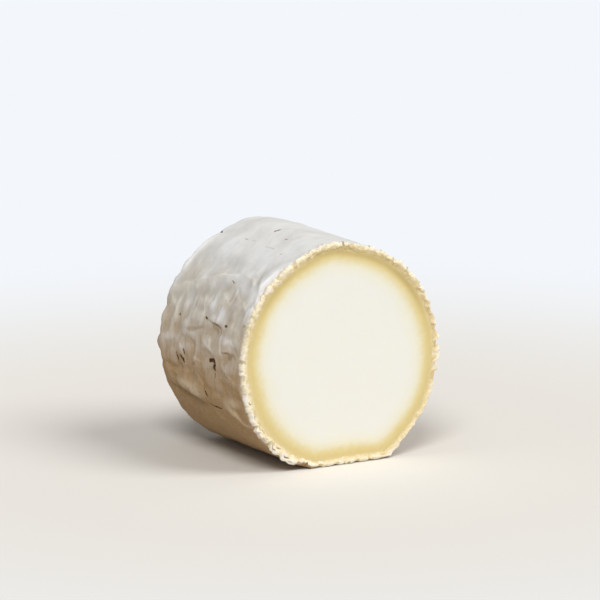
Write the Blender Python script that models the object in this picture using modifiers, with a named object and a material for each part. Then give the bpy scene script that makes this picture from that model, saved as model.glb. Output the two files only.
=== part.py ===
"""Cut piece of a white-rinded goat cheese log, lying on its own settled flat.

Metres, +Z up. The log's axis runs along +Y: the cut face looks along -Y, and the
rounded natural end, still closed by rind, is at +Y. The origin is under the middle
of the piece, on the surface that it rests on.

The piece is one solid: rind, creamline and paste have grown together. A turned
blank gets the outline of a hand-moulded log, its folds and the crimped edge of the
cut rind, and a Decimate modifier then keeps the faces where the surface is rough.
"""
import math

import bpy
import numpy as np
from mathutils import Matrix, Vector, noise

# Driving dimensions, in metres.
LOG_RADIUS = 0.0426        # plain radius of the ripened log
LOG_LENGTH = 0.0668        # cut face to the crown of the natural end
AXIS_HEIGHT = 0.0411       # lower than the radius: the log has settled on a flat
FAR_SWELL = 0.0010         # the log is this much fuller at its natural end
SHOULDER = 0.0068          # rounding between the side and the natural end
DOME = 0.0012              # how far the natural end is crowned
RIND = 0.0022              # width of the cut rind round the paste
LIP = 0.0006               # how far the cut rind stands out of the cut face
LIP_ROLL = 0.0022          # how far back the raised edge runs on the side
CRIMP_DEPTH = 0.00040      # depth of the crimps in the cut rind
WRINKLE_DEPTH = 0.00042    # usual height of the rind's wrinkles

# The sole that the log has settled on: a flat rectangle under the axis, pressed
# smooth. Outside it the underside lifts a little before it turns up into the flanks.
SOLE_X = (-0.0110, 0.0130)
SOLE_ALONG = (0.0020, 0.0575)
SOLE_LIFT = 0.12           # rise of the underside round the sole, for each metre out
SOLE_MIDDLE = -88.0        # direction of the sole's middle, in degrees
SOLE_CALM = 20.0           # the skin is smooth within this many degrees of it
SOLE_FADE = 14.0           # and gets its relief back over this many more

# Wrinkles are long round the log and short along it.
WRINKLE_ROUND = 0.0120
WRINKLE_ALONG = 0.0042
BLISTER = 0.0060

# Crimps of the cut edge: how many go round, their share of the depth and their start
# in radians. The counts don't divide each other, so no two crimps are alike. The
# edge also waves forward, a small turn out of step with its waves outward.
CRIMP_TWIST = 0.02
CRIMPS = ((89, 0.55, 0.4), (61, 0.35, 2.0), (37, 0.35, 4.1), (17, 0.30, 1.2))
SMOOTH_EDGE = (-47.0, 0.75, 30.0)     # direction, share taken off the crimps, spread

# Mesh of the turned blank, and the size that it is thinned to.
COLUMNS = 528
SIDE_STEP = 0.0009
END_STEP = 0.0014
FACE_STEP = 0.0040
FACES_KEPT = 11600
FLAT_ENOUGH = 0.000001     # a vertex no higher than this is on the sole

# Where the outline departs from a circle: direction in degrees, counted from +X
# towards +Z, height in metres, and spread in degrees.
SWELLS = (
    (-61.0, 0.0019, 11.0),     # squeezed-out corner beside the base
    (-135.0, 0.0006, 24.0),    # lower left
    (97.0, 0.0012, 11.0),      # crown
    (-36.0, 0.0017, 25.0),     # lower right flank
    (6.0, 0.0004, 16.0),       # right side
)

# Large folds of the rind: direction in degrees, place along the log, height, half
# width round the log and half length along it in metres, and lean in degrees (how
# far the fold turns from the log's axis towards a growing direction).
FOLDS = (
    (141.0, 0.034, 0.00060, 0.0016, 0.0250, 18.0),    # long crest under the top
    (152.0, 0.032, -0.00065, 0.0060, 0.0240, 12.0),   # hollow below the crest
    (168.0, 0.020, 0.00040, 0.0045, 0.0130, 0.0),     # fullness of the left flank
    (177.5, 0.007, 0.00060, 0.0010, 0.0080, 37.0),    # slanting pleat by the cut
    (175.0, 0.011, -0.00055, 0.0022, 0.0035, 0.0),    # dent beside that pleat
    (196.0, 0.036, 0.00100, 0.0036, 0.0150, -11.0),   # bulge low on the left
    (204.5, 0.033, -0.00080, 0.0016, 0.0260, 9.0),    # crease under the bulge
    (204.0, 0.009, 0.00080, 0.0017, 0.0100, -22.0),   # pleat that runs out to the cut
    (122.0, 0.060, 0.00060, 0.0090, 0.0050, 0.0),     # ridge at the far shoulder
    (113.0, 0.059, -0.00060, 0.0016, 0.0040, 25.0),   # nick in that ridge
    (86.0, 0.040, 0.00035, 0.0070, 0.0120, 0.0),      # low rise on the top
    (28.0, 0.030, 0.00060, 0.0018, 0.0220, -14.0),    # crest on the right flank
    (14.0, 0.036, -0.00060, 0.0060, 0.0200, -9.0),    # hollow below it
    (-12.0, 0.044, 0.00085, 0.0034, 0.0120, 10.0),    # bulge low on the right
    (-24.0, 0.026, -0.00070, 0.0016, 0.0200, -8.0),   # crease on the right
    (-43.0, 0.018, 0.00060, 0.0018, 0.0110, 20.0),    # pleat above the corner
)

# How strongly the rind wrinkles round the log: direction, strength and spread.
CALM = 0.35
WRINKLED = (
    (172.0, 1.00, 34.0),
    (-5.0, 0.90, 40.0),
    (-110.0, 0.25, 40.0),
)


def turn_between(angle, centre):
    """Degrees from centre to angle, the short way round."""
    return (math.degrees(angle) - centre + 180.0) % 360.0 - 180.0


def freedom(angle):
    """0 where the skin is pressed smooth round the sole, 1 on the flanks and the top."""
    away = (abs(turn_between(angle, SOLE_MIDDLE)) - SOLE_CALM) / SOLE_FADE
    share = min(1.0, max(0.0, away))
    return share * share * (3.0 - 2.0 * share)


def sole_height(across, along):
    """How high the underside lies over the surface that it rests on."""
    outside = max(SOLE_X[0] - across, across - SOLE_X[1],
                  SOLE_ALONG[0] - along, along - SOLE_ALONG[1], 0.0)
    return SOLE_LIFT * outside


def outline_radius(angle, along):
    """Radius of the moulded log in one direction, before any relief."""
    radius = LOG_RADIUS + FAR_SWELL * freedom(angle) * along / LOG_LENGTH
    for centre, height, spread in SWELLS:
        radius += height * math.exp(-(turn_between(angle, centre) / spread) ** 2)
    return radius


def fold_height(angle, along):
    """Height of the large folds at a place on the skin."""
    height = 0.0
    for centre, place, rise, half_arc, half_length, lean in FOLDS:
        arc = math.radians(turn_between(angle, centre)) * LOG_RADIUS
        run = along - place
        tilt = math.radians(lean)
        across = arc * math.cos(tilt) - run * math.sin(tilt)
        down = run * math.cos(tilt) + arc * math.sin(tilt)
        height += rise * math.exp(-(across / half_arc) ** 2 - (down / half_length) ** 2)
    return height


def wrinkle_height(point, angle, along):
    """Uneven wrinkles and blisters of the dried skin, finer than the folds."""
    strength = CALM
    for centre, extra, spread in WRINKLED:
        strength += extra * math.exp(-(turn_between(angle, centre) / spread) ** 2)
    long_way = noise.noise(Vector((point.x / WRINKLE_ROUND, point.z / WRINKLE_ROUND,
                                   along / WRINKLE_ALONG)))
    blister = noise.noise(Vector((point.x, point.z, along)) / BLISTER + Vector((7.3, 2.1, 5.5)))
    return WRINKLE_DEPTH * strength * (1.25 * long_way + 0.75 * blister)


def crimp(angle):
    """Crimps of the cut edge, about -1 in a notch and 1 on a crest."""
    centre, share_off, spread = SMOOTH_EDGE
    size = 1.0 - share_off * math.exp(-(turn_between(angle, centre) / spread) ** 4)
    return size * sum(share * math.sin(count * angle + start)
                      for count, share, start in CRIMPS)


def lip_weight(radius, along):
    """1 on the edge of the cut rind, fading to 0 on the side and on the paste."""
    outer = max(0.0, 1.0 - max(along, 0.0) / LIP_ROLL)
    inner = max(0.0, 1.0 - (LOG_RADIUS - radius) / RIND)
    return outer * min(1.0, inner * 1.6)


def half_section():
    """Turned profile, from the crown of the natural end down to the middle of the cut."""
    flat = LOG_RADIUS - SHOULDER
    rings = round(flat / END_STEP)
    points = []
    for index in range(rings):
        out = flat * index / rings
        points.append((out, LOG_LENGTH - DOME * (out / flat) ** 2))
    base = LOG_LENGTH - DOME - SHOULDER
    turns = 12
    for index in range(turns):
        angle = 0.5 * math.pi * (1.0 - index / turns)
        points.append((flat + SHOULDER * math.cos(angle), base + SHOULDER * math.sin(angle)))
    for along in np.linspace(base, LIP_ROLL, round((base - LIP_ROLL) / SIDE_STEP)):
        points.append((LOG_RADIUS, float(along)))
    points += [
        (LOG_RADIUS, 0.55 * LIP_ROLL),
        (LOG_RADIUS, 0.20 * LIP_ROLL),
        (LOG_RADIUS - 0.12 * RIND, -0.60 * LIP),
        (LOG_RADIUS - 0.35 * RIND, -1.00 * LIP),
        (LOG_RADIUS - 0.65 * RIND, -0.75 * LIP),
        (LOG_RADIUS - RIND, 0.0),
    ]
    inside = LOG_RADIUS - RIND
    rings = round(inside / FACE_STEP)
    for index in range(1, rings + 1):
        points.append((inside * (1.0 - index / rings), 0.0))
    return points


def turned_blank(collection):
    """Plain body of revolution, with its axis laid along +Y."""
    points = half_section()
    outline = bpy.data.meshes.new("half_section")
    outline.from_pydata([(out, 0.0, along) for out, along in points],
                        [(index, index + 1) for index in range(len(points) - 1)], [])
    blank = bpy.data.objects.new("turned_blank", outline)
    collection.objects.link(blank)
    screw = blank.modifiers.new("turn", 'SCREW')
    screw.axis = 'Z'
    screw.steps = COLUMNS
    screw.render_steps = COLUMNS
    screw.use_merge_vertices = True
    screw.merge_threshold = 0.00001
    screw.use_smooth_shade = True
    depsgraph = bpy.context.evaluated_depsgraph_get()
    mesh = bpy.data.meshes.new_from_object(blank.evaluated_get(depsgraph))
    bpy.data.objects.remove(blank)
    mesh.transform(Matrix.Rotation(-0.5 * math.pi, 4, 'X'))
    return mesh


def skin_direction(radius, along):
    """Outward direction of the skin, as shares of outward and along the log."""
    out = max(0.0, radius - (LOG_RADIUS - SHOULDER))
    back = max(0.0, along - (LOG_LENGTH - DOME - SHOULDER))
    length = math.hypot(out, back)
    if length < 1e-7:
        return 0.0, 1.0
    return out / length, back / length


def mould(point):
    """Where a point of the turned blank lies on the real piece."""
    radius = math.hypot(point.x, point.z)
    along = point.y
    angle = math.atan2(point.z, point.x)
    scale = outline_radius(angle, along) / LOG_RADIUS
    on_face = along < 0.5 * LIP_ROLL and radius < LOG_RADIUS - 0.01 * RIND
    lip = lip_weight(radius, along)
    rise = 0.0
    if not on_face:
        edge = min(1.0, max(0.0, along) / (2.0 * LIP_ROLL))
        spread_out = min(1.0, radius / (LOG_RADIUS - SHOULDER)) ** 2
        rise = (fold_height(angle, along) * spread_out
                + wrinkle_height(point, angle, along)) * (0.35 + 0.65 * edge)
    elif lip > 0.0:
        rise = 0.35 * fold_height(angle, 0.0) * lip
    rise += CRIMP_DEPTH * crimp(angle) * lip
    if on_face or along < LIP_ROLL:
        share_out, share_along = 1.0, 0.0
    else:
        share_out, share_along = skin_direction(radius, along)
    if along < LOG_LENGTH - DOME - SHOULDER:
        rise *= freedom(angle)
    out = radius * scale + rise * share_out
    forward = 0.7 * CRIMP_DEPTH * crimp(angle + CRIMP_TWIST) * lip * freedom(angle)
    across = out * math.cos(angle)
    return Vector((across,
                   along + rise * share_along - forward,
                   max(out * math.sin(angle) + AXIS_HEIGHT, sole_height(across, along))))


def centre_on_base(mesh):
    """Shift the mesh so that the origin is under the middle of its box."""
    places = np.empty(len(mesh.vertices) * 3)
    mesh.vertices.foreach_get("co", places)
    places = places.reshape(-1, 3)
    middle = 0.5 * (places.min(axis=0) + places.max(axis=0))
    mesh.transform(Matrix.Translation((-middle[0], -middle[1], -places[:, 2].min())))


def thinned_group(cheese):
    """Vertex group of what may be thinned: everything but the edge of the sole."""
    places = [vertex.co.z for vertex in cheese.data.vertices]
    edge = set()
    for first, second in (rim.vertices for rim in cheese.data.edges):
        if (places[first] < FLAT_ENOUGH) != (places[second] < FLAT_ENOUGH):
            edge.add(first if places[first] < FLAT_ENOUGH else second)
    group = cheese.vertex_groups.new(name="thinned")
    group.add([index for index in range(len(places)) if index not in edge], 1.0, 'REPLACE')
    return group.name


def rind_material():
    """Matt off-white bloom of the rind, the colour that most of the piece shows."""
    material = bpy.data.materials.new("bloomy_rind")
    material.use_nodes = True
    shader = material.node_tree.nodes["Principled BSDF"]
    shader.inputs["Base Color"].default_value = (0.72, 0.69, 0.63, 1.0)
    shader.inputs["Roughness"].default_value = 0.85
    shader.inputs["Metallic"].default_value = 0.0
    return material


def main():
    for thing in list(bpy.data.objects):
        bpy.data.objects.remove(thing)
    collection = bpy.data.collections.new("goat_cheese_log")
    bpy.context.scene.collection.children.link(collection)

    mesh = turned_blank(collection)
    for vertex in mesh.vertices:
        vertex.co = mould(vertex.co)
    centre_on_base(mesh)

    mesh.name = "cheese_log"
    mesh.materials.append(rind_material())
    cheese = bpy.data.objects.new("cheese_log", mesh)
    collection.objects.link(cheese)
    thin = cheese.modifiers.new("thin", 'DECIMATE')
    thin.vertex_group = thinned_group(cheese)
    thin.use_collapse_triangulate = True
    triangles = sum(len(face.vertices) - 2 for face in mesh.polygons)
    thin.ratio = FACES_KEPT / triangles


main()
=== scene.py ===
"""Looks of a cut goat cheese log: white-moulded rind, crimped cut edge, ripened paste.

Metres, +Z up. The log's axis runs along +Y and its cut face looks along -Y. A place
on the skin is given by its direction round the axis, counted from +X towards +Z in
degrees, and by how far it lies behind the cut. Sizes in FOLDS, THREADS, MARKS,
STROKES, PATCHES and SLITS are in millimetres. A plain number that is added to a place
of a noise, or that stands for one of its axes, only keeps that noise clear of the
others. Where noise is taken along an angle, the angle is multiplied by the number of
its features in a radian.
"""
import math

import bpy
import numpy as np
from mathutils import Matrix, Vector, noise


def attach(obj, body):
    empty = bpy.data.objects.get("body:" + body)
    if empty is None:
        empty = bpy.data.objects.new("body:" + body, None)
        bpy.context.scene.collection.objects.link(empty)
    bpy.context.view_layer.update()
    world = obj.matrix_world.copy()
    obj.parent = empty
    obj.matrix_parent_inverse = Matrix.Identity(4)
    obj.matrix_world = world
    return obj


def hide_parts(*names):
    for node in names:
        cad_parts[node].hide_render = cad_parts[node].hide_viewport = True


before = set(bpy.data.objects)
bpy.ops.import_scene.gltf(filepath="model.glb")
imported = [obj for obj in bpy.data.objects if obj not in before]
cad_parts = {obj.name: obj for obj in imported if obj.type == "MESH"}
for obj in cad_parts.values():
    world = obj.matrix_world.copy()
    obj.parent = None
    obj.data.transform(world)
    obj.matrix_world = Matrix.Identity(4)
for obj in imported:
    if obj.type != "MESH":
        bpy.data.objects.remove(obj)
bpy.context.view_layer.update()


# Rind
# The skin of the log: a mat of white mould about 1.5 mm thick, dry and powdery. It
# shrinks as the cheese ripens, so it folds and wrinkles round the log. Its hollows and
# creases are painted beige and brown, partly staining and partly painted shade, and it
# is painted tan toward the bottom, partly damp skin and partly painted shade with warm
# bounce light. It has grown on the paste and is one with it.

MM = 0.001
LOG_RADIUS = 0.0426        # plain radius of the ripened log
LOG_LENGTH = 0.0668        # cut face to the crown of the natural end
AXIS_HEIGHT = 0.0411       # lower than the radius: the log has settled on a flat
AXIS_X = -0.00036          # where the axis lies in the frame, which is centred on
CUT_Y = -0.0330            # the whole piece, and where the cut face lies
FAR_SWELL = 0.0010         # the log is this much fuller at its natural end
SHOULDER = 0.0068          # rounding between the side and the natural end
DOME = 0.0012              # how far the natural end is crowned
RIND_THICKNESS = 0.0015
RIND_FRONT = 0.0022        # the cut edge, a piece of its own, takes over here
RIND_DIP = 0.00012         # the rind dips this far under that piece
DIP_ROWS = 2.2             # over this many rows of its mesh

# The sole that the log rests on, pressed flat and smooth.
SOLE_X = (-0.0110, 0.0130)
SOLE_ALONG = (0.0020, 0.0575)
SOLE_LIFT = 0.12           # rise of the underside round the sole, for each metre out
SOLE_MIDDLE = -88.0        # direction of the sole's middle
SOLE_CALM = 20.0           # the skin is smooth within this many degrees of it
SOLE_FADE = 14.0           # and gets its relief back over this many more

# Where the outline departs from a circle: direction, height and spread in degrees.
SWELLS = (
    (-61, 0.0019, 11),         # squeezed-out corner beside the sole
    (-135, 0.0006, 24),        # lower left
    (97, 0.0012, 11),          # crown
    (-36, 0.0017, 25),         # lower right flank
    (6, 0.0004, 16),           # right side
)

# Large folds: direction, place along the log, height, half width round the log and
# half length along it, and lean in degrees away from the log's axis.
FOLDS = (
    (141, 34, 0.85, 1.5, 30, 18),           # long crest under the top
    (147, 34, -0.5, 3.2, 26, 18),           # hollow below the crest
    (135.5, 5.2, 0.6, 8.5, 2.8, 0),         # fullness behind the cut
    (139, 6.5, -0.55, 1.6, 7.5, -63),       # hollow beside it
    (149, 16.2, -0.3, 1, 5, 85),            # short creases round the log
    (150.5, 5, -0.3, 1, 5, 80),
    (156, 40, -0.3, 1.2, 4.5, 80),
    (130.5, 34, -0.4, 3.4, 26, 7),          # broad hollow above it
    (168, 20, 0.4, 4.5, 13, 0),             # fullness of the left flank
    (184.3, 10, 0.4, 0.9, 5.2, -35),        # slanting pleat by the cut
    (175, 9, -0.45, 2, 3, 0),               # dent beside that pleat
    (192, 45, 0.36, 0.8, 13, 3),            # thin ridge over the bulge
    (189.6, 50, -0.3, 0.8, 10, 4),          # and its crease
    (198.3, 41, 1.5, 2.6, 11, -7),          # bulge low on the left
    (204.3, 50, -0.7, 2.5, 11, -12),        # crease under the bulge
    (207, 36, -0.6, 2.4, 6, 4),
    (208, 9.5, 0.6, 1.6, 9.5, -24),         # pleat that runs out to the cut
    (212.5, 25, 0.55, 1.4, 9, -36),         # soft slanting folds below it
    (216.5, 13, 0.5, 1.4, 8.5, -30),
    (214.5, 42, 0.45, 1.6, 10, -28),
    (130, 59.8, 0.55, 13, 2.4, 0),          # ridge at the far shoulder
    (113, 59, -0.6, 1.6, 4, 25),            # nick in that ridge
    (86, 40, 0.35, 7, 12, 0),               # low rise on the top
    (28, 30, 0.6, 1.8, 22, -14),            # crest on the right flank
    (14, 36, -0.6, 6, 20, -9),              # hollow below it
    (-12, 44, 0.85, 3.4, 12, 10),           # bulge low on the right
    (-24, 26, -0.7, 1.6, 20, -8),           # crease on the right
    (-43, 18, 0.6, 1.8, 11, 20),            # pleat above the corner
)

# Thin pale threads of skin that stand up, with the same columns as the folds. Their
# paleness is partly a painted highlight on the raised skin.
THREADS = (
    (139.7, 33.5, 0.42, 0.7, 18, 20), (135.5, 12.5, 0.38, 0.7, 6.5, -16),
    (174, 14.7, 0.26, 0.7, 7, -76.8), (173.5, 23.6, 0.3, 0.7, 4.5, -22.6),
    (155.5, 33.7, 0.26, 0.6, 5.5, -60.7), (143.7, 15, -0.3, 0.9, 4, -43.8),
    (162.6, 23.5, -0.34, 0.6, 4.2, 3), (150, 8, 0.24, 0.6, 5, -20),
    (178, 33, 0.26, 0.6, 5, 80), (182.5, 32.4, 0.24, 0.6, 5, 0),
    (158, 52, 0.28, 0.7, 6, 75), (118, 42, 0.18, 0.7, 8, 25),
    (172.8, 22, 0.26, 0.6, 3.2, -49), (147.8, 23.9, 0.24, 0.6, 4.5, -23),
    (179.5, 45.2, 0.26, 0.7, 2.4, -56), (159.8, 54.8, 0.3, 1.1, 7, -45),
    (149.3, 30.2, 0.22, 0.6, 3.4, -46), (208.2, 9, 0.23, 1.4, 7, -26),
    (200.4, 10.5, 0.26, 2.4, 7.5, 10), (200, 40, 0.18, 2.6, 10.5, -7),
    (40, 26, 0.24, 0.6, 6, 60), (18, 16, 0.32, 0.6, 7, -70), (3, 50, 0.3, 0.7, 6, 45),
    (-18, 36, 0.32, 0.6, 6, -35),
)
THREAD_HEIGHT = 0.00030    # usual height of a thread
FOLD_WANDER = 0.0013       # how far folds and threads bend out of line
FOLD_BEND = 0.0070         # and the size of their bends
FINE_BEND = (2.7, 0.4)     # bends this much smaller come on top, and how strong

# Relief of the dried skin: depth, size round the log and along it, shift of the noise,
# and whether it makes thin crests instead of waves.
LUMPS = (0.00006, 0.0026, 0.0026, (0, 2.9, 0), False)        # on the calm top too
WRINKLES = (
    (0.00036, 0.0090, 0.0046, (0, 0, 0), False),             # wrinkles round the log
    (0.00046, 0.0038, 0.0170, (0, 8.6, 0), False),           # ridges along it
    (0.00060, 0.0048, 0.0048, (7.3, 2.1, 5.5), False),       # blisters
    (0.00010, 0.0140, 0.0042, (3.1, 0, 9.7), True),          # thin crests between them
    (-0.00016, 0.0110, 0.0030, (6.6, 0, 3.9), True),         # thin creases between them
    (0.00005, 0.0060, 0.0022, (0, 4.4, 0), True),            # finest crests
)
CREST_WIDTH = 0.12         # share of the noise's range that a crest takes
DRIFT_OFF = 0.0008         # how far noise pushes the relief out of line
DRIFT_SIZE = 0.0060
CUT_RELIEF = 0.55          # share of the relief that is left at the cut
CUT_REACH = 0.0044         # and how far behind the cut all of it is back

# How strong the wrinkles are: everywhere, more on the natural end, and more in some
# directions, with what is added there and its spread in degrees.
CALM = 0.24
END_WRINKLED = 0.55
WRINKLED = ((139, 0.14, 13), (171, 1.28, 24), (198, 0.40, 12), (-5, 0.90, 40),
            (-110, 0.25, 40))

# Dark marks where the mould has gone brown: direction and place of both ends, half
# width, and how dark they are. The renderer holds some values for all of them at once,
# and a table that is much longer than this one turns the rind black.
MARKS = (
    (184.4, 47.2, 185.6, 43.8, 1, 0.2), (183, 48, 184.5, 48, 0.5, 0.6),
    (184.5, 48, 186.4, 47.4, 0.6, 0.8), (183.6, 45.4, 185, 43.2, 0.5, 0.8),
    (185, 43.2, 186.3, 42.7, 0.56, 0.9), (180.1, 42.4, 181.7, 42.2, 0.46, 0.9),
    (180.6, 22.2, 179.6, 18.8, 0.62, 1), (179.6, 18.6, 181.6, 18.4, 0.75, 1),
    (181.6, 18.4, 184.1, 19.5, 0.72, 1), (187.5, 20, 188.5, 19.8, 0.32, 0.65),
    (205.5, 30, 206, 25.8, 0.2, 0.7), (206, 25.8, 206, 21.2, 0.26, 0.95),
    (195.5, 29.6, 198.2, 29.2, 0.22, 0.45), (198.4, 29.2, 200.7, 28.6, 0.32, 0.85),
    (183.5, 10.2, 186, 10.2, 0.2, 0.6), (112.9, 60.6, 113.5, 59.6, 0.3, 0.8),
    (101.2, 34.1, 98.8, 33.7, 0.42, 0.9), (104.5, 22, 104, 21.2, 0.25, 0.55),
    (94.9, 27.2, 94.2, 26.7, 0.22, 0.3), (113, 42, 112.8, 40, 0.22, 0.35),
    (112.5, 36.6, 112.5, 35, 0.22, 0.25), (113.5, 26, 113.5, 19.8, 0.22, 0.26),
    (115, 13.2, 115, 12.5, 0.22, 0.3), (139, 23.8, 139.5, 22.8, 0.32, 0.55),
    (163.5, 49.2, 164, 48.7, 0.36, 0.75), (160.5, 29.5, 161, 28.8, 0.34, 0.9),
    (161, 27, 162.2, 23.4, 0.3, 0.36), (161.9, 22.6, 163.2, 18.6, 0.36, 0.52),
    (174.5, 13.4, 174.2, 9.6, 0.32, 0.42), (161.5, 14.8, 161.5, 13.2, 0.36, 0.8),
    (143.4, 63, 144, 62.2, 0.32, 0.6), (211, 61, 211.5, 60.2, 0.26, 0.3),
    (24, 41, 21.5, 42.6, 0.32, 0.8), (21.5, 42.6, 22, 45, 0.28, 0.7),
    (-2, 17.5, -4.5, 18.6, 0.34, 1), (-4.5, 18.6, -5.5, 21, 0.28, 0.8),
    (8, 30.5, 8.4, 29.8, 0.34, 0.7), (-14.5, 52, -16.5, 50.8, 0.29, 0.7),
    (47, 24, 46.4, 23.2, 0.29, 0.6), (62, 52.5, 60.2, 51.6, 0.28, 0.5),
    (-30, 33, -30.5, 37, 0.25, 0.6),
)
MARK_DEPTH = 0.00018       # how far a mark has sunk in
MARK_FADE = 0.00030        # soft border of a mark
MARK_CORE = 0.3            # a mark or stroke is whole within this share of its width

# Soft olive brown strokes in the folds, given in the same way: partly brown staining,
# partly painted shade along the creases and beside the cut edge.
STROKES = (
    (164, 17.2, 169, 16.6, 0.3, 0.7), (162.5, 23.6, 166, 20, 0.9, 0.5),
    (167.8, 41.8, 167.6, 35, 0.85, 0.6), (167.6, 35, 166.6, 30, 0.75, 0.55),
    (128.5, 9.8, 139, 5.2, 0.9, 0.3), (139, 5.2, 149.5, 2.8, 0.8, 0.3),
    # The second stroke here is painted shade along the rind beside the cut edge.
    (159, 2.5, 158, 0.2, 0.55, 0.75), (162, 2.8, 176, 0.4, 0.45, 0.45),
    (174.8, 13, 174.2, 9.8, 0.4, 0.8), (174.4, 9.8, 174.8, 6, 0.55, 0.7),
    (175.4, 10.4, 177.2, 8, 0.6, 0.55), (174.8, 6, 176.6, 5, 0.35, 0.6),
    (185, 35.2, 185, 33.2, 0.5, 1), (190.4, 60, 190, 44, 0.35, 0.45),
    # The two strokes here and the first of the next row brown the crease under the low
    # bulge, partly as painted shade.
    (200.5, 60, 203.5, 53.5, 1.1, 0.35), (203.5, 53.5, 206.5, 42, 1.2, 0.45),
    (206.5, 42, 206.8, 32, 1, 0.35), (20, 30, 14, 27, 0.4, 0.7),
    (12, 38, 9, 45, 0.45, 0.6), (-6, 12, -12, 9, 0.4, 0.7),
    (-18, 26, -19, 34, 0.45, 0.6), (33, 47, 27, 50, 0.4, 0.55),
)
STROKE_FADE = 0.00045

# Patches of other tone: direction, place along the log, spread in degrees, spread
# along the log, whiteness and brownness that they add. Some of them are painted light.
PATCHES = (
    # The first is a painted highlight on the ridge of the far shoulder; the second, and
    # the grey patches near 130 degrees in the next rows, are painted shade in the hollow
    # above the long crest.
    (132, 60.2, 17, 2.4, 1.3, 0), (130.5, 52.5, 8, 6, -0.7, 0.08),
    (131, 39, 7, 7.5, -0.6, 0.08), (127, 27, 4, 6, -0.4, 0.05),
    (131, 9.5, 6, 4.5, -0.8, 0.08), (155, 44, 5, 6, 0.5, 0),
    # The grey patches here, near 143 to 150 degrees, are painted shade under the long
    # crest.
    (153, 27.5, 4.5, 3, 0.85, 0), (150, 19, 4.5, 3, -0.7, 0.12),
    (150.5, 20.5, 7, 2, 0.45, 0), (147, 16, 3, 8, -0.45, 0.06),
    (143, 22.5, 3, 4, -0.6, 0.1), (150, 25.5, 4.5, 1.6, -0.5, 0.1),
    (164, 21, 2.8, 3.6, -0.3, 0.55), (170, 9.5, 4, 4, 1.2, 0),
    (158.5, 19.5, 3, 3.5, 0.7, 0), (177.5, 30.5, 3.5, 5, 0.45, 0),
    (196.5, 15, 5, 6, 0.5, 0), (166, 5, 5, 3, -0.2, 0.25),
    (175.5, 8.5, 2.2, 3, -0.2, 0.4), (175.5, 55, 4, 5, 0.6, 0),
    # The last patch of this row is a painted highlight along the low bulge; the first of
    # the next row browns the crease under it, partly as painted shade.
    (177, 45.5, 4, 4.5, 1, 0), (199, 45, 2.6, 10, 0.2, 0),
    (204.8, 43, 2.2, 12, -0.2, 0.6), (75, 56, 5, 2.2, -0.25, 0.35),
    (18, 35, 6, 10, -0.4, 0.45), (-8, 20, 4, 6, -0.3, 0.6), (30, 12, 9, 6, 0.45, 0),
    (-20, 48, 5, 8, -0.2, 0.55),
)

# White band of skin that the wire has bared beside the cut, whitened further as a
# painted highlight: middle direction, spread in degrees, width along the log,
# whiteness. Its border wanders by a share of its width.
BARED_AND_HIGHLIGHT = (136.5, 16.0, 0.0046, 1.60)
BARED_WANDER = 0.35
BARED_WAVES = 9.0

# The right side and the natural end have dried unevenly, with more dark than pale.
UNEVEN = 1.3
UNEVEN_SIZE = 0.0130
UNEVEN_PALEST = 0.25
UNEVEN_SIDE = (0.3, 0.8)   # how far to the right it begins and is whole, in radii
FINE_UNEVEN = (2.3, 0.6)   # spots this much smaller come on top, and how strong

HOLLOW_ROUNDS = 40         # rounds of softening that give the level round a hollow
HOLLOW_DEPTH = 0.00020     # how far under that level a hollow is whole

RIND_COLUMNS = 600
SIDE_STEP = 0.0005
END_STEP = 0.0015
SHOULDER_TURNS = 14
INNER_ROWS = 9

SIDE_END = LOG_LENGTH - DOME - SHOULDER
ARC_TURN = 2.0 * math.pi * LOG_RADIUS / MM      # once round the log, in millimetres


def turn_from(angle, centre):
    """Degrees from centre to angle, the short way round."""
    return (np.degrees(angle) - centre + 180.0) % 360.0 - 180.0


def bell(angle, centre, spread, power=2):
    """1 in a direction, and less beside it over a spread in degrees."""
    return np.exp(-(turn_from(angle, centre) / spread) ** power)


def bells(angle, rows, power=2):
    """Sum over rows of direction, height and spread in degrees."""
    return sum(height * bell(angle, centre, spread, power)
               for centre, height, spread in rows)


def smooth_share(value, low, high):
    """0 at low and 1 at high, easing in and out between them."""
    share = np.clip((value - low) / (high - low), 0.0, 1.0)
    return share * share * (3.0 - 2.0 * share)


def freedom(angle):
    """0 where the skin is pressed smooth round the sole, 1 on the flanks and the top."""
    return smooth_share(abs(turn_from(angle, SOLE_MIDDLE)),
                        SOLE_CALM, SOLE_CALM + SOLE_FADE)


def outline_radius(angle, along):
    """Radius of the moulded log in one direction, before any relief."""
    swollen = LOG_RADIUS + FAR_SWELL * freedom(angle) * along / LOG_LENGTH
    return swollen + bells(angle, SWELLS)


def noise_at(first, second, third):
    """Smooth noise, about -1 to 1, at places given in sizes of its features."""
    first, second, third = np.broadcast_arrays(first, second, third)
    places = np.stack([first, second, third], axis=-1).reshape(-1, 3).tolist()
    return np.array([noise.noise(place) for place in places]).reshape(first.shape)


def fold_bend(angle, along):
    """How far folds and strokes are pushed out of line at a place on the skin."""
    turns, runs = angle * LOG_RADIUS / FOLD_BEND, along / FOLD_BEND
    finer, share = FINE_BEND
    return FOLD_WANDER * (noise_at(turns, runs, 6.3)
                          + share * noise_at(finer * turns, finer * runs, 1.1))


def fold_height(angle, along, folds):
    """Height of the folds or threads of a table at a place on the skin."""
    height = 0.0
    bend = fold_bend(angle, along)
    for centre, place, rise, half_arc, half_length, lean in folds:
        arc = np.radians(turn_from(angle, centre)) * LOG_RADIUS + bend
        run = along - place * MM + bend
        tilt = math.radians(lean)
        across = (arc * math.cos(tilt) - run * math.sin(tilt)) / (half_arc * MM)
        down = (run * math.cos(tilt) + arc * math.sin(tilt)) / (half_length * MM)
        height = height + rise * MM * np.exp(-across ** 2 - down ** 2)
    return height


def end_share(along):
    """0 on the side of the log and 1 on its natural end."""
    return smooth_share(along, SIDE_END, LOG_LENGTH - DOME)


def wrinkle_strength(angle, along):
    """How strongly the rind wrinkles at a place."""
    return CALM + END_WRINKLED * end_share(along) + bells(angle, WRINKLED)


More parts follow.
